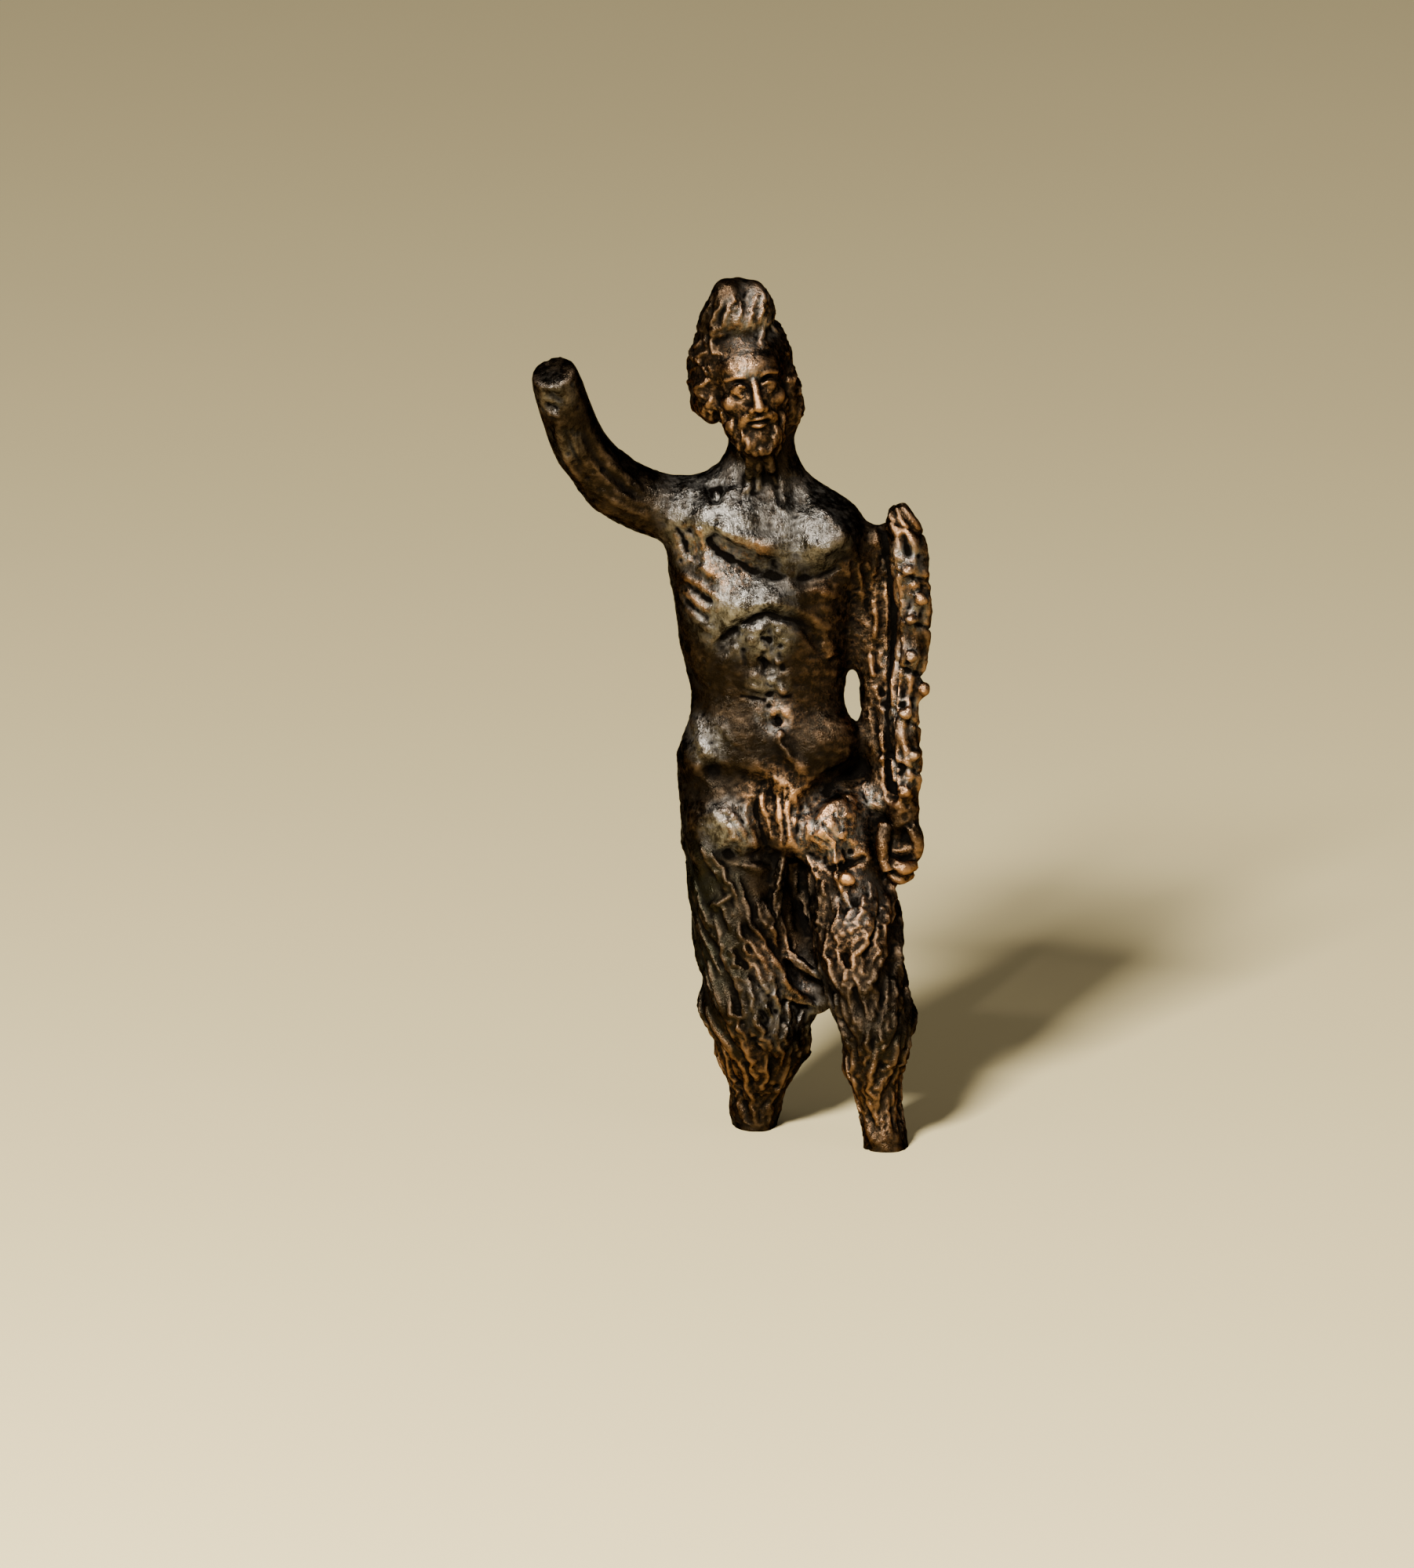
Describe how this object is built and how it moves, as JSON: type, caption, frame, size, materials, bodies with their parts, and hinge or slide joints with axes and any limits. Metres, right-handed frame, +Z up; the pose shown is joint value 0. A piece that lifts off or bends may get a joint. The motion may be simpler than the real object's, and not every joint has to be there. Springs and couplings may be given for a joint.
{
  "type": "bronze figurine",
  "caption": "Small cast bronze figurine of a standing bearded man with shaggy legs, a raised arm broken at the wrist, a knotty stick along the other arm and legs broken off below the knees",
  "frame": {"origin": "middle of the figure's bounding box, on the ground it stands on", "axes": "+Z up along the figure, the figure faces -Y, its own right hand is at -X"},
  "size_m": [0.032, 0.0164, 0.07],
  "materials": {
    "bronze": "dark brown patina, rubbed to a low sheen on raised places"
  },
  "bodies": {
    "root": {"bronze_figurine": "bronze"}
  },
  "joints": []
}
